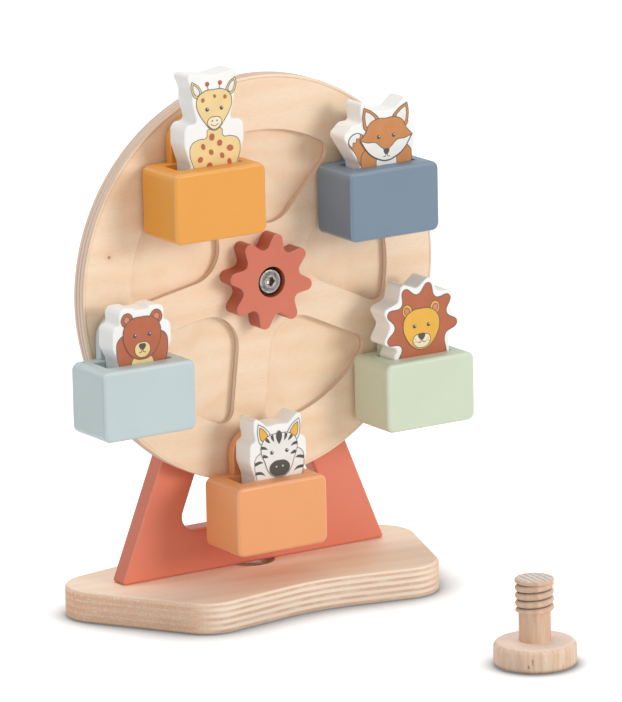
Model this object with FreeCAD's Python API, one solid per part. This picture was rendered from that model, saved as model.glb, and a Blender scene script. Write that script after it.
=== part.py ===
import FreeCAD, Part
import math
import os

# Ferris wheel toy, turned by hand, in millimetres. X runs along the stand, Y from front to back and Z up.
# The origin lies under the base on the axis of its screw hole, straight below the middle of the stand.
os.makedirs("parts", exist_ok=True)
Vector = FreeCAD.Vector

# base: an 18 mm plywood foot with two front lobes, a waist between them and slanted ends
base_thickness = 18.0
base_edge_round = 2.0
base_corner_radius = 22.5
base_waist_radius = 114.0
base_waist_depth = 13.6
base_back_radius = 60.0
base_left_reach = 127.5
base_left_end_y = 23.5
base_right_reach = 117.0
base_right_end_y = 19.5
front_left_lobe_x = 68.5
front_left_lobe_y = 71.0
front_right_lobe_x = 82.5
front_right_lobe_y = 76.0
base_back_x = 4.5
base_back_y = 45.0

# wooden clamp screw: a turned knob with a plain shank and a coarse round thread
knob_radius = 22.75
knob_thickness = 13.5
knob_edge_round = 3.0
shank_radius = 8.8
shank_length = 17.0
thread_radius = 10.6
thread_depth = 1.8
thread_pitch = 4.3
thread_groove_width = 0.5
thread_root_bury = 0.3
thread_length = 15.5
tip_length = 2.5
tip_overhang = 0.1
tip_edge_round = 1.0
loose_screw_x = 44.0
loose_screw_y = 220.0

# screw hole in the base: bored to the outside of its thread, with a flared mouth on top
screw_hole_clearance = 0.3
hole_mouth_radius = 14.5
hole_mouth_depth = 5.0

# stand: an A-shaped plate with a round head and a rounded window
hub_height_over_base = 166.0
stand_thickness = 12.0
stand_head_radius = 18.3
stand_foot_width = 174.5
stand_foot_round = 1.6
stand_leg_width = 24.5
stand_bar_height = 25.0
window_corner_radius = 8.0
stand_edge_round = 1.5

# two countersunk screws that hold the stand's foot from under the base
stand_screw_spacing = 120.0
stand_screw_radius = 2.0
stand_screw_length = 34.0
stand_screw_head_radius = 4.0
stand_screw_sink = 1.0
pilot_clearance = 0.1

# wheel: a plywood disc with milled pockets between the spokes that run out to the pivots
wheel_radius = 115.0
wheel_thickness = 10.0
wheel_edge_round = 1.2
wheel_stand_gap = 2.5
wheel_turn = 119.0
gondola_count = 5
rim_width = 31.0
pocket_inner_radius = 31.0
pocket_depth = 4.5
spoke_width = 21.0
pocket_corner_round = 7.0

# hub gear: eight round teeth, glued and pinned to the wheel
gear_thickness = 12.0
gear_tooth_count = 8
gear_tip_radius = 27.0
gear_root_radius = 18.8
tooth_tip_round = 3.6
tooth_root_round = 3.8
gear_turn = 79.0
gear_edge_round = 0.7
gear_hole_radius = 8.7
dowel_radius = 2.5
dowel_circle_radius = 13.8
dowel_clearance = 0.05
dowel_in_gear = 7.0
dowel_in_wheel = 5.0

# axle: a flat-headed bolt through a sleeve, clamped to the stand by a flanged nut
bolt_sink = 1.5
bolt_head_radius = 7.0
bolt_head_height = 4.4
bolt_head_round = 0.8
bolt_socket_width = 5.0
bolt_socket_depth = 2.6
bolt_radius = 4.0
axle_washer_radius = 8.4
axle_washer_thickness = 1.5
bush_radius = 6.0
running_clearance = 0.08
bolt_clearance = 0.1
side_play = 0.3
spacer_radius = 14.0
axle_nut_flange_radius = 11.0
axle_nut_flange_thickness = 1.5
axle_nut_barrel_radius = 5.3
axle_nut_barrel_length = 9.0
nut_seat_clearance = 0.1

# gondola pivots: bolt, washer, flanged bush and press-in nut
pivot_inset = 17.6
pivot_bolt_radius = 2.5
pivot_head_radius = 4.75
pivot_head_height = 2.4
pivot_head_round = 1.4
pivot_socket_width = 3.0
pivot_socket_depth = 1.4
pivot_washer_radius = 6.0
pivot_washer_thickness = 0.8
pivot_sleeve_radius = 3.5
pivot_flange_radius = 6.5
pivot_nut_barrel_radius = 3.2
pivot_nut_barrel_length = 7.0
pivot_nut_flange_radius = 7.5
pivot_nut_flange_thickness = 1.2

# gondola: a solid box with a slot in its top, on a round-topped hanger plate
box_width = 59.0
box_depth = 35.0
box_height = 39.6
box_corner_round = 4.5
box_edge_round = 2.0
box_wheel_gap = 2.2
pivot_over_box = 10.7
hanger_width = 27.0
hanger_thickness = 5.5
hanger_seat_depth = 22.0
hanger_edge_round = 1.0

# animal figures: flat blocks whose stems stand loose in the slots, each a little off the middle
figure_thickness = 15.0
figure_edge_round = 0.8
slot_side_gap = 0.5
slot_end_gap = 1.2
slot_depth = 22.0
slot_corner_round = 1.5
giraffe_stem_width = 31.0
fox_stem_width = 34.0
lion_stem_width = 37.4
zebra_stem_width = 31.0
bear_stem_width = 29.5
giraffe_offset = 2.7
fox_offset = 0.4
lion_offset = 0.5
zebra_offset = 4.0
bear_offset = 1.6
stem_corner_round = 1.5
waist_height = 1.5
waist_round = 5.0

# right halves of the symmetric figures, from the stem upwards: distance from the middle line,
# height over the box and corner radius
giraffe_half = [(19.3, 13.0, 8.0), (18.9, 24.6, 5.5), (10.2, 24.2, 2.5), (13.6, 36.0, 10.0),
                (13.4, 43.0, 8.0), (17.6, 52.4, 2.2), (0.0, 50.0, 20.0)]
zebra_half = [(18.7, 10.0, 7.0), (18.4, 20.6, 4.5), (14.6, 22.6, 2.0), (15.8, 29.0, 6.0),
              (15.4, 37.0, 2.4), (6.6, 29.8, 2.5), (0.0, 30.6, 8.0)]
bear_half = [(18.9, 10.0, 7.0), (18.6, 20.8, 4.5), (14.2, 22.8, 2.0), (14.9, 31.4, 4.6),
             (5.4, 31.4, 2.0), (4.2, 29.6, 1.5), (0.0, 29.8, 6.0)]
# the fox has a tail on its left, so both of its sides are written out, from the right stem over the top
fox_round = [(20.4, 12.0, 7.0), (20.9, 20.8, 4.2), (15.8, 22.8, 2.2), (16.7, 30.0, 6.0),
             (16.0, 38.6, 2.4), (6.8, 30.8, 2.5), (0.0, 30.2, 8.0), (-6.8, 30.8, 2.5),
             (-15.8, 38.6, 2.4), (-16.0, 30.0, 6.0), (-14.8, 24.8, 2.0), (-21.2, 24.6, 5.0),
             (-27.8, 18.6, 3.0), (-22.4, 10.0, 10.0)]
# the lion's mane is a ring of round points
mane_centre_height = 18.5
mane_tip_radius = 27.5
mane_dip_radius = 20.5
mane_point_count = 6
mane_point_spacing = 40.8
mane_turn = 7.5
mane_tip_round = 2.6
mane_dip_round = 3.0

# working values: how far cutting tools run past a face, how close counts as touching, and the
# largest share of a run beside a corner that the corner's arc may take
cut_margin = 1.0
touch = 0.001
longest_arc_share = 0.49

# places worked out from the sizes above
hub_height = base_thickness + hub_height_over_base
stand_front = -stand_thickness / 2
stand_back = stand_thickness / 2
wheel_back = stand_front - wheel_stand_gap
wheel_front = wheel_back - wheel_thickness
gear_front = wheel_front - gear_thickness
pivot_radius = wheel_radius - pivot_inset
box_back = wheel_front - box_wheel_gap
box_front = box_back - box_depth
box_middle_y = (box_front + box_back) / 2
slot_width = figure_thickness + 2 * slot_side_gap
stems = [(giraffe_stem_width, giraffe_offset), (fox_stem_width, fox_offset), (lion_stem_width, lion_offset),
         (zebra_stem_width, zebra_offset), (bear_stem_width, bear_offset)]
slot_length = max(width + 2 * abs(offset) for width, offset in stems) + 2 * slot_end_gap
bolt_head_front = gear_front + bolt_sink
bolt_seat = bolt_head_front + bolt_head_height
bush_front = bolt_seat + axle_washer_thickness
gear_seat = bush_front + side_play
bush_bore_radius = bolt_radius + bolt_clearance
hanger_front = box_back - hanger_thickness
pivot_washer_back = hanger_front - side_play
pivot_seat = pivot_washer_back - pivot_washer_thickness
thread_core_radius = thread_radius - thread_depth
screw_hole_radius = thread_radius + screw_hole_clearance


def rounded_face(corners, upright):
    """Closed outline of straight runs and tangent arcs, from (across, up, radius) corners."""
    def place(across, up):
        if upright:
            return Vector(across, 0, up)
        return Vector(across, up, 0)

    points = [place(across, up) for across, up, radius in corners]
    count = len(points)
    arcs = []
    for i in range(count):
        corner = points[i]
        if corners[i][2] == 0:
            arcs.append((corner, corner, corner))
            continue
        back = points[i - 1] - corner
        ahead = points[(i + 1) % count] - corner
        half_angle = back.getAngle(ahead) / 2
        longest_reach = longest_arc_share * min(back.Length, ahead.Length)
        reach = min(corners[i][2] / math.tan(half_angle), longest_reach)
        radius = reach * math.tan(half_angle)
        back.normalize()
        ahead.normalize()
        bisector = back + ahead
        bisector.normalize()
        middle = corner + bisector * (radius / math.sin(half_angle) - radius)
        arcs.append((corner + back * reach, middle, corner + ahead * reach))
    edges = []
    for i in range(count):
        start, middle, end = arcs[i]
        if corners[i][2] > 0:
            edges.append(Part.Arc(start, middle, end).toShape())
        edges.append(Part.LineSegment(end, arcs[(i + 1) % count][0]).toShape())
    return Part.Face(Part.Wire(edges))


def upright_plate(face, front, back):
    """Plate between two Y values, from a face drawn in the XZ plane."""
    plate = face.extrude(Vector(0, back - front, 0))
    plate.translate(Vector(0, front, 0))
    return plate


def round_front_and_back(plate, front, back, radius):
    """Round the edges that lie in the plate's front and back faces."""
    edges = []
    for edge in plate.Edges:
        box = edge.BoundBox
        if box.YLength < touch and min(abs(box.YMin - front), abs(box.YMin - back)) < touch:
            edges.append(edge)
    return plate.makeFillet(radius, edges)


def level_edges(solid):
    return [edge for edge in solid.Edges if edge.BoundBox.ZLength < touch]


def rod(radius, front, back, x=0.0, z=hub_height):
    """Cylinder along Y between two Y values."""
    return Part.makeCylinder(radius, back - front, Vector(x, front, z), Vector(0, 1, 0))


def ring(outer_radius, inner_radius, front, back, x=0.0, z=hub_height):
    return rod(outer_radius, front, back, x, z).cut(rod(inner_radius, front, back, x, z))


def socket_bolt(head, seat, end, shank_radius, socket, x=0.0, z=hub_height):
    """Bolt along Y whose round-edged head stands in front of its seat and has a hexagon socket."""
    head_radius, head_height, head_round = head
    socket_width, socket_depth = socket
    head_front = seat - head_height
    bolt = rod(head_radius, head_front, seat, x, z)
    bolt = bolt.makeFillet(head_round, [edge for edge in bolt.Edges if edge.BoundBox.YMax < head_front + touch])
    bolt = bolt.fuse(rod(shank_radius, seat, end, x, z))
    corner_radius = socket_width / math.sqrt(3)
    hexagon = []
    for i in range(6):
        angle = math.radians(60 * i)
        hexagon.append(Vector(x + corner_radius * math.cos(angle), head_front, z + corner_radius * math.sin(angle)))
    hexagon.append(hexagon[0])
    socket_prism = Part.Face(Part.makePolygon(hexagon)).extrude(Vector(0, socket_depth, 0))
    return bolt.cut(socket_prism)


def pivot_place(index):
    """X and Z of a gondola's pivot at rest."""
    angle = math.radians(wheel_turn - index * 360.0 / gondola_count)
    return pivot_radius * math.cos(angle), hub_height + pivot_radius * math.sin(angle)


def make_base():
    corners = [(-base_left_reach, base_left_end_y, base_corner_radius),
               (-front_left_lobe_x, -front_left_lobe_y, base_corner_radius),
               ((front_right_lobe_x - front_left_lobe_x) / 2,
                base_waist_depth - (front_left_lobe_y + front_right_lobe_y) / 2, base_waist_radius),
               (front_right_lobe_x, -front_right_lobe_y, base_corner_radius),
               (base_right_reach, base_right_end_y, base_corner_radius),
               (-base_back_x, base_back_y, base_back_radius)]
    base = rounded_face(corners, False).extrude(Vector(0, 0, base_thickness))
    base = base.makeFillet(base_edge_round, level_edges(base))
    base = base.cut(Part.makeCylinder(screw_hole_radius, base_thickness))
    mouth_floor = base_thickness - hole_mouth_depth
    mouth = Part.makeCone(screw_hole_radius, hole_mouth_radius, hole_mouth_depth, Vector(0, 0, mouth_floor))
    base = base.cut(mouth)
    for x in (-stand_screw_spacing / 2, stand_screw_spacing / 2):
        base = base.cut(stand_screw(x, pilot_clearance))
        base = base.cut(Part.makeCylinder(stand_screw_head_radius + pilot_clearance, stand_screw_sink,
                                          Vector(x, 0, 0)))
    return base


def stand_screw(x, clearance):
    """Countersunk wood screw that points up, grown by a clearance."""
    head_radius = stand_screw_head_radius + clearance
    body_radius = stand_screw_radius + clearance
    head_height = head_radius - body_radius
    head = Part.makeCone(head_radius, body_radius, head_height, Vector(x, 0, stand_screw_sink))
    body = Part.makeCylinder(body_radius, stand_screw_length + clearance, Vector(x, 0, stand_screw_sink))
    return head.fuse(body)


def make_stand():
    half_foot = stand_foot_width / 2
    foot = Vector(half_foot, 0, base_thickness)
    hub = Vector(0, 0, hub_height)
    to_hub = hub - foot
    lean = math.atan2(to_hub.z, -to_hub.x) + math.asin(stand_head_radius / to_hub.Length)
    side = Vector(-math.cos(lean), 0, math.sin(lean))
    outwards = Vector(math.sin(lean), 0, math.cos(lean))
    tangent = hub + outwards * stand_head_radius
    mirrored = Vector(-tangent.x, 0, tangent.z)
    top = hub + Vector(0, 0, stand_head_radius)
    edges = [Part.LineSegment(Vector(-half_foot, 0, base_thickness), foot).toShape(),
             Part.LineSegment(foot, tangent).toShape(),
             Part.Arc(tangent, top, mirrored).toShape(),
             Part.LineSegment(mirrored, Vector(-half_foot, 0, base_thickness)).toShape()]
    plate = upright_plate(Part.Face(Part.Wire(edges)), stand_front, stand_back)
    corner_edges = [edge for edge in plate.Edges
                    if edge.BoundBox.YLength > touch and edge.BoundBox.ZMax < base_thickness + touch]
    plate = plate.makeFillet(stand_foot_round, corner_edges)

    bar_top = base_thickness + stand_bar_height
    inner_foot = foot - outwards * stand_leg_width
    window_half = inner_foot.x - (bar_top - inner_foot.z) * math.cos(lean) / math.sin(lean)
    window_height = window_half * math.tan(lean)
    window_corners = [(-window_half, bar_top, window_corner_radius),
                      (window_half, bar_top, window_corner_radius),
                      (0.0, bar_top + window_height, window_corner_radius)]
    window = upright_plate(rounded_face(window_corners, True), stand_front - cut_margin, stand_back + cut_margin)
    plate = plate.cut(window)
    rounded = []
    for edge in plate.Edges:
        box = edge.BoundBox
        flat = box.YLength < touch
        on_foot = box.ZMax < base_thickness + touch
        if flat and not on_foot:
            rounded.append(edge)
    plate = plate.makeFillet(stand_edge_round, rounded)
    plate = plate.cut(rod(bush_bore_radius, stand_front, stand_back))
    plate = plate.cut(rod(axle_nut_barrel_radius + nut_seat_clearance,
                          stand_back - axle_nut_barrel_length - nut_seat_clearance, stand_back))
    for x in (-stand_screw_spacing / 2, stand_screw_spacing / 2):
        plate = plate.cut(stand_screw(x, pilot_clearance))
    return plate


def make_pocket(angle):
    """Tool for one pocket: two sides along the spokes, a round nose at the hub and an arc at the rim."""
    floor = wheel_front + pocket_depth
    half_sector = math.pi / gondola_count
    rim_radius = wheel_radius - rim_width
    apex = spoke_width / 2 / math.sin(half_sector)
    nose_radius = (pocket_inner_radius - apex) / (1 / math.sin(half_sector) - 1)
    far = 2 * rim_radius
    far_half = (far - apex) * math.tan(half_sector)
    sector = rounded_face([(apex, 0.0, nose_radius), (far, -far_half, 0.0), (far, far_half, 0.0)], True)
    sector.translate(Vector(0, 0, hub_height))
    tool = upright_plate(sector, wheel_front, floor).common(rod(rim_radius, wheel_front, floor))
    nose_end = apex + nose_radius / math.tan(half_sector) * math.cos(half_sector)
    rim_corners = [edge for edge in tool.Edges
                   if edge.BoundBox.XLength < touch and edge.BoundBox.ZLength < touch
                   and edge.BoundBox.XMin > nose_end + touch]
    tool = tool.makeFillet(pocket_corner_round, rim_corners)
    tool.rotate(Vector(0, 0, hub_height), Vector(0, -1, 0), angle)
    return tool


def make_wheel():
    wheel = rod(wheel_radius, wheel_front, wheel_back)
    wheel = round_front_and_back(wheel, wheel_front, wheel_back, wheel_edge_round)
    wheel = wheel.cut(rod(bush_radius + running_clearance, wheel_front, wheel_back))
    for i in range(gondola_count):
        wheel = wheel.cut(make_pocket(wheel_turn - (i + 0.5) * 360.0 / gondola_count))
        x, z = pivot_place(i)
        nut_hole_end = wheel_back - pivot_nut_barrel_length - nut_seat_clearance
        flange_seat = wheel_back - pivot_nut_flange_thickness
        wheel = wheel.cut(rod(pivot_bolt_radius + bolt_clearance, wheel_front, wheel_back, x, z))
        wheel = wheel.cut(rod(pivot_nut_barrel_radius + nut_seat_clearance, nut_hole_end, wheel_back, x, z))
        wheel = wheel.cut(rod(pivot_nut_flange_radius + nut_seat_clearance, flange_seat, wheel_back, x, z))
    return wheel.cut(make_gear_dowels(dowel_clearance))


def make_gear_dowels(clearance):
    """Two hidden dowels that pin the gear to the wheel, each between two teeth, grown by a clearance."""
    dowels = []
    half_pitch = 180.0 / gear_tooth_count
    front = wheel_front - dowel_in_gear - clearance
    back = wheel_front + dowel_in_wheel + clearance
    for side in (0, 180):
        angle = math.radians(gear_turn + half_pitch + side)
        x = dowel_circle_radius * math.cos(angle)
        z = hub_height + dowel_circle_radius * math.sin(angle)
        dowels.append(rod(dowel_radius + clearance, front, back, x, z))
    return Part.makeCompound(dowels)


def polar(radius, angle):
    return Vector(radius * math.cos(angle), 0, radius * math.sin(angle))


def flank(tip_angle, root_angle):
    """Ends of the straight flank that joins a tooth's round tip to the round root beside it."""
    tip_centre = polar(gear_tip_radius - tooth_tip_round, tip_angle)
    root_centre = polar(gear_root_radius + tooth_root_round, root_angle)
    between = root_centre - tip_centre
    swing = math.acos((tooth_tip_round + tooth_root_round) / between.Length)
    if root_angle > tip_angle:
        swing = -swing
    heading = math.atan2(between.z, between.x) + swing
    normal = polar(1.0, heading)
    return tip_centre + normal * tooth_tip_round, root_centre - normal * tooth_root_round


def make_gear():
    pitch = 2 * math.pi / gear_tooth_count
    edges = []
    for i in range(gear_tooth_count):
        angle = math.radians(gear_turn) + i * pitch
        tip_start = flank(angle, angle - pitch / 2)[0]
        tip_end, root_start = flank(angle, angle + pitch / 2)
        next_tip, root_end = flank(angle + pitch, angle + pitch / 2)
        edges.append(Part.Arc(tip_start, polar(gear_tip_radius, angle), tip_end).toShape())
        edges.append(Part.LineSegment(tip_end, root_start).toShape())
        edges.append(Part.Arc(root_start, polar(gear_root_radius, angle + pitch / 2), root_end).toShape())
        edges.append(Part.LineSegment(root_end, next_tip).toShape())
    gear = upright_plate(Part.Face(Part.Wire(edges)), gear_front, wheel_front)
    gear = round_front_and_back(gear, gear_front, gear_front, gear_edge_round)
    gear.translate(Vector(0, 0, hub_height))
    gear = gear.cut(rod(gear_hole_radius, gear_front, gear_seat))
    gear = gear.cut(rod(bush_radius + running_clearance, gear_seat, wheel_front))
    return gear.cut(make_gear_dowels(dowel_clearance))


def make_axle_bolt():
    head = (bolt_head_radius, bolt_head_height, bolt_head_round)
    socket = (bolt_socket_width, bolt_socket_depth)
    return socket_bolt(head, bolt_seat, stand_back, bolt_radius, socket)


def make_axle_washer():
    return ring(axle_washer_radius, bush_bore_radius, bolt_seat, bush_front)


def make_axle_bush():
    return ring(bush_radius, bush_bore_radius, bush_front, stand_front)


def make_wheel_spacer():
    return ring(spacer_radius, bush_radius + bolt_clearance, wheel_back + side_play, stand_front)


def make_axle_nut():
    flange_back = stand_back + axle_nut_flange_thickness
    nut = rod(axle_nut_barrel_radius, stand_back - axle_nut_barrel_length, stand_back)
    nut = nut.fuse(rod(axle_nut_flange_radius, stand_back, flange_back))
    return nut.cut(rod(bolt_radius + nut_seat_clearance, stand_back - axle_nut_barrel_length, flange_back))


def make_pivot_bolts():
    head = (pivot_head_radius, pivot_head_height, pivot_head_round)
    socket = (pivot_socket_width, pivot_socket_depth)
    end = wheel_back - pivot_nut_flange_thickness
    return [socket_bolt(head, pivot_seat, end, pivot_bolt_radius, socket, x, z) for x, z in pivots]


def make_pivot_washers():
    bore = pivot_bolt_radius + bolt_clearance
    return [ring(pivot_washer_radius, bore, pivot_seat, pivot_washer_back, x, z) for x, z in pivots]


def make_pivot_bushes():
    """Flanged bushes: the flange keeps the hanger off the wheel and the sleeve is its pivot."""
    bushes = []
    for x, z in pivots:
        bush = rod(pivot_sleeve_radius, pivot_washer_back, wheel_front, x, z)
        bush = bush.fuse(rod(pivot_flange_radius, box_back + side_play, wheel_front, x, z))
        bushes.append(bush.cut(rod(pivot_bolt_radius + bolt_clearance, pivot_washer_back, wheel_front, x, z)))
    return bushes


def make_pivot_nuts():
    nuts = []
    for x, z in pivots:
        front = wheel_back - pivot_nut_barrel_length
        nut = rod(pivot_nut_barrel_radius, front, wheel_back, x, z)
        nut = nut.fuse(rod(pivot_nut_flange_radius, wheel_back - pivot_nut_flange_thickness, wheel_back, x, z))
        nuts.append(nut.cut(rod(pivot_bolt_radius + nut_seat_clearance, front, wheel_back, x, z)))
    return nuts


def make_gondola_box(x, z):
    """Box below its pivot, with the slot for a figure and a seat for the hanger in its back."""
    top = z - pivot_over_box
    box = Part.makeBox(box_width, box_depth, box_height, Vector(x - box_width / 2, box_front, top - box_height))
    box = box.makeFillet(box_corner_round, [edge for edge in box.Edges if edge.BoundBox.YLength > touch])
    box = round_front_and_back(box, box_front, box_back, box_edge_round)
    slot = Part.makeBox(slot_length, slot_width, slot_depth,
                        Vector(x - slot_length / 2, box_middle_y - slot_width / 2, top - slot_depth))
    slot = slot.makeFillet(slot_corner_round, [edge for edge in slot.Edges if edge.BoundBox.ZLength > touch])
    seat = Part.makeBox(hanger_width, hanger_thickness, hanger_seat_depth,
                        Vector(x - hanger_width / 2, hanger_front, top - hanger_seat_depth))
    return box.cut(slot).cut(seat)


def make_hanger(x, z):
    top = z - pivot_over_box
    bottom = top - hanger_seat_depth
    plate = Part.makeBox(hanger_width, hanger_thickness, z - bottom,
                         Vector(x - hanger_width / 2, hanger_front, bottom))
    plate = plate.fuse(rod(hanger_width / 2, hanger_front, box_back, x, z)).removeSplitter()
    plate = round_front_and_back(plate, hanger_front, box_back, hanger_edge_round)
    return plate.cut(rod(pivot_sleeve_radius + running_clearance, hanger_front, box_back, x, z))


def mirrored_corners(half, stem_width):
    """Whole outline of a symmetric figure from its right half, which ends on the middle line."""
    right = [(stem_width / 2, -slot_depth, stem_corner_round), (stem_width / 2, waist_height, waist_round)]
    right += half
    left = [(-x, z, radius) for x, z, radius in reversed(right[:-1])]
    return right + left


def fox_corners():
    half_stem = fox_stem_width / 2
    corners = [(half_stem, -slot_depth, stem_corner_round), (half_stem, waist_height, waist_round)]
    corners += fox_round
    corners += [(-half_stem, waist_height, waist_round), (-half_stem, -slot_depth, stem_corner_round)]
    return corners


def lion_corners():
    half_stem = lion_stem_width / 2
    corners = [(half_stem, -slot_depth, stem_corner_round), (half_stem, waist_height, waist_round)]
    first_tip = 90.0 + mane_turn - (mane_point_count - 1) * mane_point_spacing / 2
    for i in range(2 * mane_point_count + 1):
        angle = math.radians(first_tip + (i - 1) * mane_point_spacing / 2)
        on_tip = i % 2 == 1
        radius = mane_tip_radius if on_tip else mane_dip_radius
        corner_round = mane_tip_round if on_tip else mane_dip_round
        corners.append((radius * math.cos(angle), mane_centre_height + radius * math.sin(angle), corner_round))
    corners += [(-half_stem, waist_height, waist_round), (-half_stem, -slot_depth, stem_corner_round)]
    return corners


def make_figure(corners, offset, x, z):
    front = box_middle_y - figure_thickness / 2
    back = box_middle_y + figure_thickness / 2
    figure = upright_plate(rounded_face(corners, True), front, back)
    figure = round_front_and_back(figure, front, back, figure_edge_round)
    figure.translate(Vector(x + offset, 0, z - pivot_over_box))
    return figure


def make_wooden_screw():
    """Turned screw that stands on its knob, with one round-crested thread wound as a helix."""
    knob = Part.makeCylinder(knob_radius, knob_thickness)
    knob = knob.makeFillet(knob_edge_round, level_edges(knob))
    thread_start = knob_thickness + shank_length
    thread_end = thread_start + thread_length
    shank = Part.makeCylinder(shank_radius, shank_length, Vector(0, 0, knob_thickness))
    tip = Part.makeCylinder(thread_radius + tip_overhang, tip_length, Vector(0, 0, thread_end))
    tip = tip.makeFillet(tip_edge_round, level_edges(tip))
    helix = Part.makeHelix(thread_pitch, thread_length + thread_pitch, thread_core_radius)
    half_ridge = (thread_pitch - thread_groove_width) / 2
    root = thread_core_radius - thread_root_bury
    low = Vector(root, 0, -half_ridge)
    high = Vector(root, 0, half_ridge)
    crest = Part.Arc(low, Vector(thread_radius, 0, 0), high).toShape()
    profile = Part.Wire([crest, Part.LineSegment(high, low).toShape()])
    ridge = Part.Wire(helix).makePipeShell([profile], True, True)
    ridge.translate(Vector(0, 0, thread_start - thread_pitch / 2))
    # the ridge is joined to a core longer than itself and then both are trimmed to the thread's length
    core_start = thread_start - 1.5 * thread_pitch
    core = Part.makeCylinder(thread_core_radius, thread_length + 3 * thread_pitch, Vector(0, 0, core_start))
    room_length = thread_length + tip_length / 2
    room = Part.makeCylinder(thread_radius + cut_margin, room_length, Vector(0, 0, thread_start))
    thread = core.fuse(ridge).common(room)
    heart_start = knob_thickness - cut_margin
    heart = Part.makeCylinder(thread_core_radius - cut_margin, thread_end - heart_start, Vector(0, 0, heart_start))
    screw = knob.fuse([shank, thread, tip, heart])
    screw.translate(Vector(loose_screw_x, -loose_screw_y, 0))
    return screw


def save(shape, node):
    shape.exportStep("parts/" + node + ".step")
    print(node, len(shape.Solids), round(shape.Volume, 1), shape.isValid())


pivots = [pivot_place(i) for i in range(gondola_count)]
figures = [
    ("giraffe", mirrored_corners(giraffe_half, giraffe_stem_width), giraffe_offset),
    ("fox", fox_corners(), fox_offset),
    ("lion", lion_corners(), lion_offset),
    ("zebra", mirrored_corners(zebra_half, zebra_stem_width), zebra_offset),
    ("bear", mirrored_corners(bear_half, bear_stem_width), bear_offset),
]

save(make_base(), "base")
save(make_stand(), "stand")
stand_screws = [stand_screw(x, 0.0) for x in (-stand_screw_spacing / 2, stand_screw_spacing / 2)]
save(Part.makeCompound(stand_screws), "stand_screws")
save(make_wheel(), "wheel")
save(make_gear(), "hub_gear")
save(make_gear_dowels(0.0), "gear_dowels")
save(make_axle_bolt(), "axle_bolt")
save(make_axle_washer(), "axle_washer")
save(make_axle_bush(), "axle_bush")
save(make_wheel_spacer(), "wheel_spacer")
save(make_axle_nut(), "axle_nut")
save(Part.makeCompound(make_pivot_bolts()), "pivot_bolts")
save(Part.makeCompound(make_pivot_washers()), "pivot_washers")
save(Part.makeCompound(make_pivot_bushes()), "pivot_bushes")
save(Part.makeCompound(make_pivot_nuts()), "pivot_nuts")
for (x, z), (animal, corners, offset) in zip(pivots, figures):
    save(make_gondola_box(x, z), "gondola_box_" + animal)
    save(make_hanger(x, z), "hanger_" + animal)
    save(make_figure(corners, offset, x, z), "figure_" + animal)
save(make_wooden_screw(), "wooden_screw")
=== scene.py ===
import bmesh
import bpy
import math
from mathutils import Matrix, Vector


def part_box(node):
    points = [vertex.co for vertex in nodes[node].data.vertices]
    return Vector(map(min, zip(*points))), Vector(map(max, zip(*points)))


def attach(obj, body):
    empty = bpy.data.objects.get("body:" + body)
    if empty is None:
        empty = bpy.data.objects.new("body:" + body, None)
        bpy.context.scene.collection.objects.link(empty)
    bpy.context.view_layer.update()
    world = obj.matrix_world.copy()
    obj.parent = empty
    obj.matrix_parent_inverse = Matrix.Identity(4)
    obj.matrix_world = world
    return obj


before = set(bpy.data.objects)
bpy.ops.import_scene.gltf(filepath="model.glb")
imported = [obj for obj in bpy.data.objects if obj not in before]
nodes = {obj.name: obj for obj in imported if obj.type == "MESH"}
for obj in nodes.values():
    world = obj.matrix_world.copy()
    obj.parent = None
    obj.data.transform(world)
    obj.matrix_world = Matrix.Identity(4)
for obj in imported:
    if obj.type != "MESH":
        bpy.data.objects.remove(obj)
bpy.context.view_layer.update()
animals = ["giraffe", "fox", "lion", "zebra", "bear"]
mm = 0.001

cameraView = {
    "target": (0.0324, -0.0185, 0.1376),
    "azimuth": -32.405,
    "elevation": 13.426,
    "roll": -1.242,
    "distance": 3.7442,
    "lens": 386.6,
    "sensor": 36.0,
}


def addItem(name, data):
    item = bpy.data.objects.new(name, data)
    bpy.context.scene.collection.objects.link(item)
    return item


def makeCamera(view):
    turn = math.radians(view["azimuth"])
    lift = math.radians(view["elevation"])
    away = Vector((math.sin(turn) * math.cos(lift), -math.cos(turn) * math.cos(lift), math.sin(lift)))
    camera = addItem("camera", bpy.data.cameras.new("camera"))
    camera.data.sensor_fit = "HORIZONTAL"
    camera.data.sensor_width = view["sensor"]
    camera.data.lens = view["lens"]
    place = Matrix.Translation(Vector(view["target"]) + away * view["distance"])
    look = (-away).to_track_quat("-Z", "Y").to_matrix().to_4x4()
    camera.matrix_world = place @ look @ Matrix.Rotation(math.radians(view["roll"]), 4, "Z")
    bpy.context.scene.camera = camera


makeCamera(cameraView)
bpy.context.scene.view_settings.view_transform = "Standard"
print("camera set")

studio = {
    "skyLight": 0.50,
    "floorColour": (0.86, 0.86, 0.86, 1.0),
    "floorGlow": 0.60,
    "floorSize": 14.0,
    "floorHeight": -0.1 * mm,
    "paintedShadowReach": 0.03,
    "paintedShadowFrom": 0.5,
    "paintedShadowTone": 0.30,
    "lampTarget": (0, 0, 0.12),
    "lamps": {
        "key": {"from": (1.7, -3.3, 1.15), "size": 1.5, "power": 54.0, "colour": (1.0, 0.985, 0.965)},
        "fill": {"from": (-3.0, -1.4, 2.0), "size": 2.4, "power": 12.0, "colour": (1.0, 0.99, 0.98)},
        "top": {"from": (-0.2, 0.6, 3.4), "size": 1.8, "power": 34.0, "colour": (1.0, 1.0, 1.0)},
    },
}


def put(tree, kind, inputs=None, **settings):
    node = tree.nodes.new(kind)
    for key, value in settings.items():
        setattr(node, key, value)
    for key, value in (inputs or {}).items():
        if isinstance(value, bpy.types.NodeSocket):
            tree.links.new(value, node.inputs[key])
        else:
            node.inputs[key].default_value = value
    return node


def calc(tree, operation, first, second=None, third=None):
    given = {i: v for i, v in enumerate((first, second, third)) if v is not None}
    return put(tree, "ShaderNodeMath", given, operation=operation).outputs[0]


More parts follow.
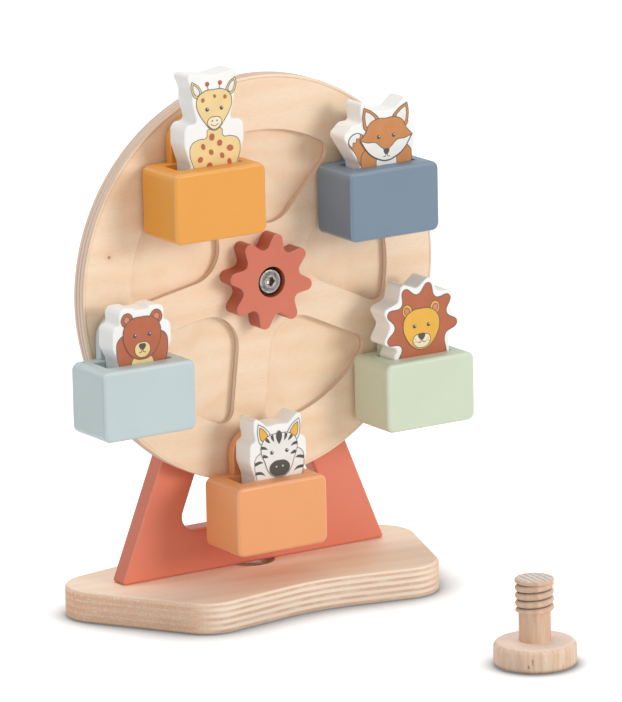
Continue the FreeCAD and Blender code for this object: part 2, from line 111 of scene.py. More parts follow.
def times(tree, first, second):
    return calc(tree, "MULTIPLY", first, second)


def gap(tree, first, second):
    return calc(tree, "ABSOLUTE", calc(tree, "SUBTRACT", first, second))


def weighedSum(tree, first, share, second, otherShare):
    return calc(tree, "ADD", times(tree, first, share), times(tree, second, otherShare))


def blend(tree, factor, first, second):
    return put(tree, "ShaderNodeMix", {0: factor, 2: first, 3: second}).outputs[0]


def blendColour(tree, factor, first, second, mode="MIX"):
    node = put(tree, "ShaderNodeMix", {0: factor, 6: first, 7: second}, data_type="RGBA", blend_type=mode)
    return node.outputs[2]


def tinted(tree, colour, tint):
    return blendColour(tree, 1.0, colour, tint, "MULTIPLY")


def fade(tree, value, low, high, lowOut=0.0, highOut=1.0):
    limits = {"Value": value, "From Min": low, "From Max": high, "To Min": lowOut, "To Max": highOut}
    return put(tree, "ShaderNodeMapRange", limits, interpolation_type="SMOOTHSTEP").outputs[0]


def mapped(tree, vector, scale=(1, 1, 1), turn=(0, 0, 0)):
    return put(tree, "ShaderNodeMapping", {"Vector": vector, "Scale": scale, "Rotation": turn}).outputs[0]


def objectPlace(tree, scale=(1, 1, 1), turn=(0, 0, 0)):
    return mapped(tree, put(tree, "ShaderNodeTexCoord").outputs["Object"], scale, turn)


def objectAxes(tree):
    return put(tree, "ShaderNodeSeparateXYZ", {0: objectPlace(tree)}).outputs


def fromLine(tree, parts, axes, centre):
    # distance from a line along the axis that isn't among the two given
    squares = [calc(tree, "POWER", calc(tree, "SUBTRACT", parts[i], c), 2.0) for i, c in zip(axes, centre)]
    return calc(tree, "SQRT", calc(tree, "ADD", *squares))


def noise(tree, place, detail, roughness=0.5, distortion=0.0):
    given = {"Vector": place, "Scale": 1.0, "Detail": detail, "Roughness": roughness}
    return put(tree, "ShaderNodeTexNoise", {**given, "Distortion": distortion}).outputs["Fac"]


def objectNoise(tree, size, detail, roughness=0.5):
    # a higher size is finer; it's one number, or one for each of the object's own axes
    scale = (size,) * 3 if isinstance(size, (int, float)) else tuple(size)
    return noise(tree, objectPlace(tree, scale), detail, roughness)


def surfaceFacing(tree):
    # how far the surface faces along each of the object's own axes
    coords = put(tree, "ShaderNodeTexCoord")
    parts = put(tree, "ShaderNodeSeparateXYZ", {0: coords.outputs["Normal"]})
    return [calc(tree, "ABSOLUTE", parts.outputs[i]) for i in range(3)]


def plainColour(red, green, blue):
    # a screen colour of 0 to 255 as the light it stands for
    steps = [c / 255 for c in (red, green, blue)]
    return tuple(c / 12.92 if c <= 0.04045 else ((c + 0.055) / 1.055) ** 2.4 for c in steps) + (1.0,)


def darkened(colour, share):
    return tuple(c * share for c in colour[:3]) + (1.0,)


def startMaterial(name):
    material = bpy.data.materials.new(name)
    material.use_nodes = True
    return material, material.node_tree, material.node_tree.nodes["Principled BSDF"]


def setSurface(tree, shader, colour, cloud, roughness, less, more):
    # the roughness wanders from a little less to a little more than its mean
    gloss = fade(tree, cloud, 0.3, 0.7, roughness - less, roughness + more)
    tree.links.new(colour, shader.inputs["Base Color"])
    tree.links.new(gloss, shader.inputs["Roughness"])


def addBump(tree, shader, height, strength, distance, under=None):
    bump = put(tree, "ShaderNodeBump", {"Height": height, "Strength": strength, "Distance": distance})
    if under is not None:
        tree.links.new(under, bump.inputs["Normal"])
    tree.links.new(bump.outputs[0], shader.inputs["Normal"])


def seenRays(tree):
    rays = put(tree, "ShaderNodeLightPath").outputs
    return calc(tree, "MAXIMUM", rays["Is Camera Ray"], rays["Is Glossy Ray"])


def makeSky(values):
    world = bpy.data.worlds.new("studioSky")
    bpy.context.scene.world = world
    world.use_nodes = True
    tree = world.node_tree
    tree.nodes.clear()
    light = put(tree, "ShaderNodeBackground", {"Color": (1, 1, 1, 1), "Strength": values["skyLight"]})
    white = put(tree, "ShaderNodeBackground", {"Color": (1, 1, 1, 1), "Strength": 1.0})
    either = put(tree, "ShaderNodeMixShader", {0: seenRays(tree), 1: light.outputs[0], 2: white.outputs[0]})
    put(tree, "ShaderNodeOutputWorld", {"Surface": either.outputs[0]})


def makeLamps(values):
    for name, lamp in values["lamps"].items():
        data = bpy.data.lights.new(name, "AREA")
        data.shape = "DISK"
        data.size = lamp["size"]
        data.energy = lamp["power"]
        data.color = lamp["colour"]
        item = addItem(name, data)
        item.location = lamp["from"]
        toObject = Vector(values["lampTarget"]) - item.location
        item.rotation_euler = toObject.to_track_quat("-Z", "Y").to_euler()


def makeFloor(values):
    half = values["floorSize"] / 2
    corners = [(-half, -half, 0), (half, -half, 0), (half, half, 0), (-half, half, 0)]
    mesh = bpy.data.meshes.new("studioFloor")
    mesh.from_pydata(corners, [], [(0, 1, 2, 3)])
    floor = addItem("studioFloor", mesh)
    material, tree, shader = startMaterial("studioFloor")
    tree.nodes.remove(shader)
    # painted shadow: the floor's colour and glow are darkened where something stands close over it
    near = put(tree, "ShaderNodeAmbientOcclusion", {"Distance": values["paintedShadowReach"]}, samples=12)
    limits = {0: near.outputs["AO"], 1: values["paintedShadowFrom"], 2: 1.0, 3: values["paintedShadowTone"], 4: 1.0}
    tone = put(tree, "ShaderNodeMapRange", limits).outputs[0]
    glow = times(tree, times(tree, seenRays(tree), values["floorGlow"]), tone)
    matt = put(tree, "ShaderNodeBsdfDiffuse", {"Color": tinted(tree, values["floorColour"], tone)})
    lit = put(tree, "ShaderNodeEmission", {"Strength": glow})
    both = put(tree, "ShaderNodeAddShader", {0: matt.outputs[0], 1: lit.outputs[0]})
    tree.links.new(both.outputs[0], tree.nodes["Material Output"].inputs["Surface"])
    mesh.materials.append(material)
    floor.location.z = values["floorHeight"]


makeSky(studio)
makeLamps(studio)
makeFloor(studio)
print("studio lit")

birchFigure = {
    "figure": (5, 42, 42),
    "fibres": (45, 1300, 1300),
    "dashes": (170, 1500, 1500),
    "wobbleSize": 70,
    "specks": 900,
    "stretches": (60.0, 300.0),
    "plyBlend": 0.08,
    "outerPly": (0.32 * mm, 0.12 * mm),
    "fleckColour": plainColour(168, 116, 76),
    "halo": (plainColour(214, 160, 116), 0.8 * mm, 4.5 * mm, 0.28),
    "heart": (plainColour(166, 104, 66), 0.5 * mm, 1.3 * mm, 0.8),
    "glueColour": plainColour(158, 112, 80),
}
baseBirch = {
    "layerAxis": 2,
    "middle": 9.0 * mm,
    "halfThickness": 9.0 * mm,
    "heartPly": 1.5 * mm,
    "longPly": 2.0 * mm,
    "plyStep": 3.47 * mm,
    "grainTurn": (0, 0, math.radians(9)),
    "pale": plainColour(251, 230, 209),
    "tan": plainColour(249, 213, 174),
    "longEdge": plainColour(255, 236, 215),
    "endEdge": plainColour(240, 187, 149),
    "frontEdge": plainColour(226, 184, 155),
    "patchy": 0.55,
    "glueLine": 0.18,
    "sanding": 0.5 * mm,
    "roughEnds": 0.95,
    "wobble": 0.45 * mm,
    "knots": [],
    "roughness": 0.5,
}
# "pocket" holds the turn of the grain on the pockets' floors and the depths between which it shows
wheelBirch = {
    "layerAxis": 1,
    "middle": -13.5 * mm,
    "halfThickness": 5.0 * mm,
    "heartPly": 1.4 * mm,
    "longPly": 1.2 * mm,
    "plyStep": 3.4 * mm,
    "grainTurn": (math.radians(90), math.radians(12), 0),
    "pale": plainColour(252, 227, 198),
    "tan": plainColour(245, 210, 173),
    "longEdge": plainColour(240, 216, 196),
    "endEdge": plainColour(208, 176, 154),
    "frontEdge": plainColour(208, 176, 154),
    "patchy": 0.8,
    "glueLine": 0.12,
    "sanding": 0.8 * mm,
    "roughEnds": 0.0,
    "wobble": 0.15 * mm,
    "knots": [(-0.0973, -0.0185, 0.2093)],
    "pocket": {"turn": math.radians(74), "floor": (-3.0 * mm, -2.0 * mm), "back": (3.5 * mm, 4.5 * mm)},
    "roughness": 0.46,
}


def birchVeneer(tree, wood, extraTurn=0.0):
    # long soft figure, fine fibres and a few short brown flecks, all running one way
    turn = list(wood["grainTurn"])
    turn[1 if wood["layerAxis"] == 1 else 2] += extraTurn
    place = objectPlace(tree, turn=tuple(turn))
    figure, fibres, dashes = [mapped(tree, place, birchFigure[key]) for key in ("figure", "fibres", "dashes")]
    broad = noise(tree, figure, 3.0, 0.55, 0.9)
    waves = {"Vector": figure, "Scale": 0.55, "Distortion": 7.0, "Detail": 2.0, "Detail Scale": 0.6}
    rings = put(tree, "ShaderNodeTexWave", waves, bands_direction="Y").outputs["Fac"]
    thread = noise(tree, fibres, 2.0)
    fleck = fade(tree, noise(tree, dashes, 1.0), 0.70, 0.80)
    amount = weighedSum(tree, broad, 0.82, rings, 0.14)
    colour = blendColour(tree, fade(tree, amount, 0.25, 0.85), wood["pale"], wood["tan"])
    colour = tinted(tree, colour, fade(tree, thread, 0.25, 0.75, 0.965, 1.02))
    colour = blendColour(tree, times(tree, fleck, 0.2), colour, birchFigure["fleckColour"])
    for spot in wood["knots"]:
        # a pin knot with a soft darker halo
        apart = put(tree, "ShaderNodeVectorMath", {0: objectPlace(tree), 1: spot}, operation="DISTANCE")
        for ring in ("halo", "heart"):
            tone, near, far, strength = birchFigure[ring]
            share = fade(tree, apart.outputs["Value"], near, far, strength, 0.0)
            colour = blendColour(tree, share, colour, tone)
    return colour, thread


def birchEdge(tree, wood, facing):
    # plies turn by turn: one shows its fibres lengthways, the next its end grain
    fromMiddle = gap(tree, objectAxes(tree)[wood["layerAxis"]], wood["middle"])
    wobble = objectNoise(tree, birchFigure["wobbleSize"], 3.0)
    drift = times(tree, calc(tree, "SUBTRACT", wobble, 0.5), wood["wobble"])
    fromMiddle = calc(tree, "ADD", fromMiddle, drift)
    phase = calc(tree, "DIVIDE", calc(tree, "SUBTRACT", fromMiddle, wood["heartPly"] / 2), wood["plyStep"])
    within = calc(tree, "FRACT", phase)
    share = wood["longPly"] / wood["plyStep"]
    rise = fade(tree, within, 0.0, birchFigure["plyBlend"])
    fall = fade(tree, within, share, share + birchFigure["plyBlend"], 1.0, 0.0)
    other = facing[2] if wood["layerAxis"] == 1 else facing[1]
    endOfFirst = times(tree, facing[0], facing[0])
    endGrain = blend(tree, times(tree, rise, fall), times(tree, other, other), endOfFirst)
    specks = objectNoise(tree, birchFigure["specks"], 3.0, 0.7)
    endGrain = times(tree, endGrain, fade(tree, specks, 0.3, 0.65, 0.78, 1.15))
    # a ply's end grain is paler over some stretches than over others
    along, through = birchFigure["stretches"]
    stretches = objectNoise(tree, [through if i == wood["layerAxis"] else along for i in range(3)], 2.0)
    endGrain = times(tree, endGrain, fade(tree, stretches, 0.35, 0.6, wood["patchy"], 1.0))
    # the long plies look rougher and browner at the two ends of a board
    rougher = times(tree, times(tree, endOfFirst, wood["roughEnds"]), fade(tree, specks, 0.3, 0.6))
    longPly = blendColour(tree, rougher, wood["longEdge"], wood["endEdge"])
    endColour = blendColour(tree, endOfFirst, wood["frontEdge"], wood["endEdge"])
    colour = blendColour(tree, endGrain, longPly, endColour)
    glueLine = fade(tree, gap(tree, within, share), 0.0, 0.05, wood["glueLine"], 0.0)
    return blendColour(tree, glueLine, colour, birchFigure["glueColour"]), specks


def plywood(name, wood):
    material, tree, shader = startMaterial(name)
    facing = surfaceFacing(tree)
    face, thread = birchVeneer(tree, wood)
    edge, specks = birchEdge(tree, wood, facing)
    depth = objectAxes(tree)[wood["layerAxis"]]
    inner, outer = [wood["halfThickness"] - below for below in birchFigure["outerPly"]]
    outerPly = fade(tree, gap(tree, depth, wood["middle"]), inner, outer)
    isFace = calc(tree, "MAXIMUM", outerPly, fade(tree, facing[wood["layerAxis"]], 0.975, 0.995))
    if "pocket" in wood:
        # the pocket floors lie in the middle ply, whose grain runs across
        pocket = wood["pocket"]
        across = birchVeneer(tree, wood, pocket["turn"])[0]
        inPocket, isBack = [fade(tree, depth, wood["middle"] + low, wood["middle"] + high)
                            for low, high in (pocket["floor"], pocket["back"])]
        face = blendColour(tree, calc(tree, "SUBTRACT", inPocket, isBack), face, across)
    tree.links.new(blendColour(tree, isFace, edge, face), shader.inputs["Base Color"])
    gloss = fade(tree, thread, 0.2, 0.8, wood["roughness"] - 0.05, wood["roughness"] + 0.08)
    tree.links.new(blend(tree, isFace, wood["roughness"] + 0.22, gloss), shader.inputs["Roughness"])
    # sharp milled edges are sanded, so their normals run round over a short way
    sanded = put(tree, "ShaderNodeBevel", {"Radius": wood["sanding"]}, samples=6)
    addBump(tree, shader, blend(tree, isFace, specks, thread), 0.25, 0.12 * mm, sanded.outputs[0])
    return material


paintCoat = {"clouds": 26, "fibres": (60, 900, 900), "orangePeel": 700, "dark": 0.93, "paintedEdgeHighlight": 0.35}
paints = {
    # the stand's terracotta is made lighter than the gear's copy, as painted light that offsets the shade
    # falling on the stand
    "terracottaPaint": {"colour": (231, 131, 104), "grain": 0.22, "edge": 0.10, "roughness": 0.46,
                        "sawnEdgeShade": 0.82},
    "gearPaint": {"colour": (214, 114, 88), "grain": 0.22, "edge": 0.40, "roughness": 0.46, "sawnEdgeShade": 0.78},
    "ochrePaint": {"colour": (239, 163, 62), "grain": 0.10, "edge": 0.46, "roughness": 0.36},
    "slatePaint": {"colour": (116, 137, 156), "grain": 0.10, "edge": 0.34, "roughness": 0.36},
    "sagePaint": {"colour": (213, 225, 200), "grain": 0.10, "edge": 0.44, "roughness": 0.36},
    "apricotPaint": {"colour": (246, 168, 110), "grain": 0.10, "edge": 0.40, "roughness": 0.36},
    "mistPaint": {"colour": (197, 212, 214), "grain": 0.10, "edge": 0.48, "roughness": 0.36},
    "whitePaint": {"colour": (251, 251, 248), "grain": 0.05, "edge": 0.05, "roughness": 0.42},
}


def painted(name, values):
    material, tree, shader = startMaterial(name)
    colour = plainColour(*values["colour"])
    lighter = tuple(c + (1.0 - c) * paintCoat["paintedEdgeHighlight"] for c in colour[:3]) + (1.0,)
    broad = objectNoise(tree, paintCoat["clouds"], 3.0)
    fibres = objectNoise(tree, paintCoat["fibres"], 3.0)
    orangePeel = objectNoise(tree, paintCoat["orangePeel"], 2.0)
    shade = weighedSum(tree, broad, 0.7, fibres, values["grain"])
    coat = blendColour(tree, fade(tree, shade, 0.2, 0.75), colour, darkened(colour, paintCoat["dark"]))
    facing = surfaceFacing(tree)
    if "sawnEdgeShade" in values:
        # painted shade: a board's sawn edges are coloured darker; its arrises lie between them and its faces
        coat = tinted(tree, coat, fade(tree, facing[1], 0.1, 0.6, values["sawnEdgeShade"], 1.0))
        nearFace = fade(tree, facing[1], 0.85, 0.96, values["edge"], 0.0)
        arris = times(tree, fade(tree, facing[1], 0.2, 0.45), nearFace)
    else:
        flattest = calc(tree, "MAXIMUM", calc(tree, "MAXIMUM", facing[0], facing[1]), facing[2])
        arris = fade(tree, flattest, 0.74, 0.90, values["edge"], 0.0)
    # painted highlight: the arrises are coloured lighter, more in some patches than in others
    paintedEdgeHighlight = times(tree, arris, fade(tree, broad, 0.35, 0.6, 0.5, 1.0))
    coat = blendColour(tree, paintedEdgeHighlight, coat, lighter)
    setSurface(tree, shader, coat, broad, values["roughness"], 0.05, 0.06)
    height = weighedSum(tree, fibres, values["grain"] * 3, orangePeel, 0.35)
    addBump(tree, shader, height, 0.18, 0.10 * mm)
    return material


beechWood = {
    "pale": plainColour(243, 217, 195),
    "tan": plainColour(222, 184, 152),
    "fleck": plainColour(160, 112, 80),
    "endPale": plainColour(244, 222, 207),
    "endDark": plainColour(184, 156, 138),
    "streaks": 330,
    "fine": 1500,
    "dashes": 900,
    "pores": 1500,
    "stemFrom": 14.0 * mm,
    "stemShadeTint": (0.88, 0.83, 0.78, 1.0),
    "rowsFrom": 46.5 * mm,
    "topTint": (0.84, 0.92, 0.98, 1.0),
    "topTurn": math.radians(5),
    "grooves": {"axis": (44.0 * mm, -220.0 * mm), "root": 8.8 * mm, "clear": 10.2 * mm, "from": 30.6 * mm,
                "to": 46.6 * mm, "blend": 0.4 * mm, "tone": 0.36},
    "roughness": 0.5,
    "scars": {"place": (0.0286, -0.2367, 0.0062), "turn": math.radians(42.6), "half": (2.6, 3.0, 3.0),
              "stripes": (780, 60, 150)},
}
platedSteel = {"grains": 1400, "patches": 260}
zincFinish = {"bright": (0.46, 0.455, 0.44, 1.0), "dull": (0.30, 0.298, 0.288, 1.0), "roughness": 0.30}
boltFinish = {
    "bright": (0.42, 0.385, 0.37, 1.0),
    "dull": (0.15, 0.143, 0.135, 1.0),
    "roughness": 0.27,
    "rings": {"centre": (0.0, 184.0 * mm), "groove": (4.7 * mm, 1.3 * mm), "tone": 0.55},
    "socket": {"radius": 2.95 * mm, "from": -28.8 * mm, "to": -26.2 * mm, "floor": -26.5 * mm,
               "paintedWallShade": (0.10, 0.075, 0.06, 1.0), "floorColour": (0.34, 0.28, 0.23, 1.0),
               "glint": (0.3 * mm, -1.15 * mm), "glintRadius": 1.1 * mm,
               "glintColour": (1.0, 0.96, 0.90, 1.0)},
}
# painted shade and reflection: the washer deep in the gear's hole is coloured dark brown, for its shade and
# the red paint it reflects
washerPaintedShade = {"bright": (0.10, 0.055, 0.042, 1.0), "dull": (0.05, 0.027, 0.02, 1.0), "roughness": 0.5}
nylonFinish = {"colour": plainColour(226, 222, 208), "cloud": 240, "dark": 0.9, "roughness": 0.45}


def woodScars(tree, scars):
    # a few short upright brown dashes in one small patch
    fromPatch = {0: objectPlace(tree), 1: scars["place"]}
    moved = put(tree, "ShaderNodeVectorMath", fromPatch, operation="SUBTRACT").outputs[0]
    local = mapped(tree, moved, turn=(0, 0, scars["turn"]))
    parts = put(tree, "ShaderNodeSeparateXYZ", {0: local}).outputs
    patch = 1.0
    for i, half in enumerate(scars["half"]):
        inside = fade(tree, calc(tree, "ABSOLUTE", parts[i]), half * 0.8 * mm, half * mm, 1.0, 0.0)
        patch = times(tree, patch, inside)
    stripes = noise(tree, mapped(tree, local, scars["stripes"]), 1.0)
    return times(tree, patch, fade(tree, stripes, 0.55, 0.62, 0.0, 0.75))


def paintedGrooveShade(tree, grooves):
    # painted shade: the bottoms of the thread's grooves are coloured darker
    parts = objectAxes(tree)
    away = fromLine(tree, parts, (0, 1), grooves["axis"])
    dark = fade(tree, away, grooves["root"], grooves["clear"], 1.0 - grooves["tone"], 0.0)
    above = fade(tree, parts[2], grooves["from"], grooves["from"] + grooves["blend"])
    below = fade(tree, parts[2], grooves["to"] - grooves["blend"], grooves["to"], 1.0, 0.0)
    return calc(tree, "SUBTRACT", 1.0, times(tree, dark, times(tree, above, below)))


def turnedBeech(name, wood, grainAxis):
    material, tree, shader = startMaterial(name)

    def drawnOut(size, share, detail, roughness=0.5):
        scale = [size * (share if i == grainAxis else 1.0) for i in range(3)]
        return objectNoise(tree, scale, detail, roughness)

    streaks = drawnOut(wood["streaks"], 0.07, 4.0, 0.6)
    fine = drawnOut(wood["fine"], 0.07, 2.0)
    dashes = fade(tree, drawnOut(wood["dashes"], 0.22, 1.0), 0.66, 0.74)
    # end grain: slanted rows of small pores, which show only on the cut top of the stem
    waves = {"Vector": objectPlace(tree, turn=(0, 0, wood["topTurn"])), "Scale": 95.0, "Distortion": 2.5,
             "Detail": 2.0, "Detail Scale": 2.0}
    rows = put(tree, "ShaderNodeTexWave", waves, bands_direction="X").outputs["Fac"]
    pores = objectNoise(tree, wood["pores"], 2.0, 0.7)
    height = objectAxes(tree)[2]
    onTop = fade(tree, height, wood["rowsFrom"] - 0.5 * mm, wood["rowsFrom"])
    rows = times(tree, calc(tree, "POWER", rows, 2.0), calc(tree, "MULTIPLY_ADD", onTop, 0.30, 0.06))
    endShade = calc(tree, "ADD", rows, times(tree, pores, 0.6))
    # painted shade: the stem is coloured darker and warmer, for the shadow under the thread along with a
    # warmer wood tone
    onStem = fade(tree, height, wood["stemFrom"] - 0.8 * mm, wood["stemFrom"])
    side = blendColour(tree, fade(tree, streaks, 0.22, 0.80), wood["pale"], wood["tan"])
    side = blendColour(tree, onStem, side, wood["stemShadeTint"], "MULTIPLY")
    side = blendColour(tree, times(tree, dashes, 0.3), side, wood["fleck"])
    side = blendColour(tree, woodScars(tree, wood["scars"]), side, wood["fleck"])
    end = blendColour(tree, fade(tree, endShade, 0.25, 0.85), wood["endPale"], wood["endDark"])
    end = blendColour(tree, onTop, end, wood["topTint"], "MULTIPLY")
    isEnd = fade(tree, surfaceFacing(tree)[grainAxis], 0.75, 0.95)
    # the fine grain's tone, times the painted shade in the thread's grooves
    tone = times(tree, fade(tree, fine, 0.25, 0.75, 0.95, 1.03), paintedGrooveShade(tree, wood["grooves"]))
    colour = tinted(tree, blendColour(tree, isEnd, side, end), tone)
    setSurface(tree, shader, colour, streaks, wood["roughness"], 0.04, 0.12)
    addBump(tree, shader, blend(tree, isEnd, streaks, endShade), 0.3, 0.15 * mm)
    return material


def turnedBolt(tree, colour, rings, socket):
    # painted highlight and shade: a light lip round the socket, a dull groove and a light outer rim
    parts = objectAxes(tree)
    away = fromLine(tree, parts, (0, 2), rings["centre"])
    middle, spread = rings["groove"]
    groove = fade(tree, gap(tree, away, middle), spread * 0.5, spread, rings["tone"], 1.0)
    colour = tinted(tree, colour, groove)
    # painted shade in the dark socket, with a painted glint on its floor
    depth = parts[1]
    deep = times(tree, fade(tree, depth, socket["from"], socket["from"] + 0.2 * mm),
                 fade(tree, depth, socket["to"], socket["to"] + 0.1 * mm, 1.0, 0.0))
    within = fade(tree, away, socket["radius"], socket["radius"] + 0.1 * mm, 1.0, 0.0)
    onFloor = fade(tree, depth, socket["floor"] - 0.05 * mm, socket["floor"] + 0.05 * mm)
    spot = [c + shift for c, shift in zip(rings["centre"], socket["glint"])]
    fromGlint = fromLine(tree, parts, (0, 2), spot)
    glint = fade(tree, fromGlint, socket["glintRadius"] * 0.6, socket["glintRadius"], 1.0, 0.0)
    inside = blendColour(tree, onFloor, socket["paintedWallShade"], socket["floorColour"])
    inside = blendColour(tree, glint, inside, socket["glintColour"])
    return blendColour(tree, times(tree, within, deep), colour, inside)


def zincSteel(name, values):
    material, tree, shader = startMaterial(name)
    grains = objectNoise(tree, platedSteel["grains"], 3.0, 0.65)
    patches = objectNoise(tree, platedSteel["patches"], 2.0)
    amount = weighedSum(tree, grains, 0.6, patches, 0.4)
    colour = blendColour(tree, fade(tree, amount, 0.40, 0.60), values["bright"], values["dull"])
    if "rings" in values:
        colour = turnedBolt(tree, colour, values["rings"], values["socket"])
    shader.inputs["Metallic"].default_value = 1.0
    setSurface(tree, shader, colour, patches, values["roughness"], 0.08, 0.14)
    addBump(tree, shader, grains, 0.3, 0.05 * mm)
    return material


def mouldedNylon(name, values):
    material, tree, shader = startMaterial(name)
    cloud = objectNoise(tree, values["cloud"], 2.0)
    colour = blendColour(tree, cloud, values["colour"], darkened(values["colour"], values["dark"]))
    setSurface(tree, shader, colour, cloud, values["roughness"], 0.06, 0.08)
    addBump(tree, shader, cloud, 0.15, 0.05 * mm)
    return material


def dressNode(name, material):
    slots = nodes[name].material_slots
    if not slots:
        nodes[name].data.materials.append(material)
    for slot in slots:
        slot.material = material


paintOf = {name: painted(name, values) for name, values in paints.items()}
boxPaint = dict(zip(animals, ("ochrePaint", "slatePaint", "sagePaint", "apricotPaint", "mistPaint")))
zinc = zincSteel("zincSteel", zincFinish)
nylon = mouldedNylon("mouldedNylon", nylonFinish)
beechAlongY = turnedBeech("beechDowel", beechWood, 1)
beechUpright = turnedBeech("turnedBeech", beechWood, 2)
basePly = plywood("basePlywood", baseBirch)
wheelPly = plywood("wheelPlywood", wheelBirch)

dressNode("base", basePly)
dressNode("wheel", wheelPly)
dressNode("stand", paintOf["terracottaPaint"])
dressNode("hub_gear", paintOf["gearPaint"])
dressNode("gear_dowels", beechAlongY)
dressNode("wooden_screw", beechUpright)
for name in ("stand_screws", "axle_nut", "pivot_bolts", "pivot_washers", "pivot_nuts"):
    dressNode(name, zinc)
dressNode("axle_bolt", zincSteel("axleBolt", boltFinish))
dressNode("axle_washer", zincSteel("shadedWasher", washerPaintedShade))
for name in ("axle_bush", "wheel_spacer", "pivot_bushes"):
    dressNode(name, nylon)
for animal in animals:
    dressNode("gondola_box_" + animal, paintOf[boxPaint[animal]])
    dressNode("hanger_" + animal, paintOf[boxPaint[animal]])
    dressNode("figure_" + animal, paintOf["whitePaint"])
print("materials on", len(nodes), "nodes")


def startTree(name, **sizes):
    tree = bpy.data.node_groups.new(name, "GeometryNodeTree")
    tree.interface.new_socket(name="Geometry", in_out="INPUT", socket_type="NodeSocketGeometry")
    for key, kind in sizes.items():
        tree.interface.new_socket(name=key, in_out="INPUT", socket_type="NodeSocket" + kind)
    tree.interface.new_socket(name="Geometry", in_out="OUTPUT", socket_type="NodeSocketGeometry")
    return tree, put(tree, "NodeGroupInput").outputs


def sweptCircle(tree, curve, sides, radius):
    profile = put(tree, "GeometryNodeCurvePrimitiveCircle", {"Resolution": sides, "Radius": radius})
    along = {"Curve": curve, "Profile Curve": profile.outputs[0], "Fill Caps": True}
    return put(tree, "GeometryNodeCurveToMesh", along).outputs[0]


def endTree(tree, geometry, material):
    real = put(tree, "GeometryNodeRealizeInstances", {0: geometry})
    coloured = put(tree, "GeometryNodeSetMaterial", {"Geometry": real.outputs[0], "Material": material})
    put(tree, "NodeGroupOutput", {0: coloured.outputs[0]})
    return tree


def makeLineTree():
    # a flat printed line along every curve that goes in
    tree, given = startTree("printedLine", Width="Float", Flatness="Float", Spacing="Float", Ink="Material")
    steps = {"Curve": given["Geometry"], "Length": given["Spacing"]}
    even = put(tree, "GeometryNodeResampleCurve", steps, mode="LENGTH")
    tube = sweptCircle(tree, even.outputs[0], 6, times(tree, given["Width"], 0.5))
    thin = put(tree, "ShaderNodeCombineXYZ", {0: 1.0, 1: 1.0, 2: given["Flatness"]})
    flat = put(tree, "GeometryNodeTransform", {"Geometry": tube, "Scale": thin.outputs[0]})
    return endTree(tree, flat.outputs[0], given["Ink"])


def makeDotTree():
    # a printed dot, or a many-sided blotch when it has few sides, on every point that goes in
    tree, given = startTree("printedDots", Radius="Float", Thickness="Float", Sides="Int", Variation="Float",
                            Seed="Int", Ink="Material")
    fullTurn = 6.28

    def drawn(least, most):
        limits = {2: least, 3: most, "Seed": given["Seed"]}
        return put(tree, "FunctionNodeRandomValue", limits, data_type="FLOAT").outputs[1]

    disc = put(tree, "GeometryNodeMeshCylinder",
               {"Vertices": given["Sides"], "Radius": given["Radius"], "Depth": given["Thickness"]})
    size = drawn(calc(tree, "SUBTRACT", 1.0, given["Variation"]), calc(tree, "ADD", 1.0, given["Variation"]))
    turned = put(tree, "ShaderNodeCombineXYZ", {2: drawn(0.0, fullTurn)})
    sized = put(tree, "ShaderNodeCombineXYZ", {0: size, 1: 1.0, 2: 1.0})
    copies = put(tree, "GeometryNodeInstanceOnPoints",
                 {"Points": given["Geometry"], "Instance": disc.outputs[0], "Rotation": turned.outputs[0],
                  "Scale": sized.outputs[0]})
    return endTree(tree, copies.outputs[0], given["Ink"])


def makeThreadTree():
    # a round ridge wound up the inside of a hole
    tree, given = startTree("woundRidge", Pitch="Float", Turns="Float", Hole="Float", Ridge="Float",
                            Ink="Material")
    spiral = put(tree, "GeometryNodeCurveSpiral",
                 {"Resolution": 48, "Rotations": given["Turns"], "Start Radius": given["Hole"],
                  "End Radius": given["Hole"], "Height": times(tree, given["Pitch"], given["Turns"])})
    return endTree(tree, sweptCircle(tree, spiral.outputs[0], 12, given["Ridge"]), given["Ink"])


def shapedMesh(item):
    # the item as it looks, in a plain mesh; the item itself goes
    bpy.context.view_layer.update()
    graph = bpy.context.evaluated_depsgraph_get()
    mesh = bpy.data.meshes.new_from_object(item.evaluated_get(graph), depsgraph=graph)
    bpy.data.objects.remove(item)
    return mesh


def runTree(item, tree, values):
    modifier = item.modifiers.new(tree.name, "NODES")
    modifier.node_group = tree
    for socket in tree.interface.items_tree:
        if socket.in_out == "INPUT" and socket.name in values:
            modifier[socket.identifier] = values[socket.name]
    return shapedMesh(item)


lineTree = makeLineTree()
dotTree = makeDotTree()
threadTree = makeThreadTree()

baseThread = {"pitch": 4.3 * mm, "turns": 2.55, "ridge": 1.3 * mm, "start": 1.3 * mm, "holeRadius": 10.9 * mm}


def makeBaseThread(values):
    seed = addItem("threadSeed", bpy.data.meshes.new("threadSeed"))
    sizes = {"Pitch": values["pitch"], "Turns": values["turns"], "Hole": values["holeRadius"],
             "Ridge": values["ridge"], "Ink": basePly}
    mesh = runTree(seed, threadTree, sizes)
    mesh.transform(Matrix.Translation((0, 0, values["start"])))
    thread = addItem("base_thread", mesh)
    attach(thread, "stand")


makeBaseThread(baseThread)
print("base thread cut")

wheelRim = {
    "centre": (0.0, 184.0 * mm),
    "radius": 115.0 * mm,
    "front": -18.5 * mm,
    "back": -8.5 * mm,
    "rounding": 1.2 * mm,
    "lap": 0.8 * mm,
    "margin": 0.1 * mm,
    "proud": 0.01 * mm,
    "depth": 0.3 * mm,
    "steps": 300,
    "roundSteps": 9,
}


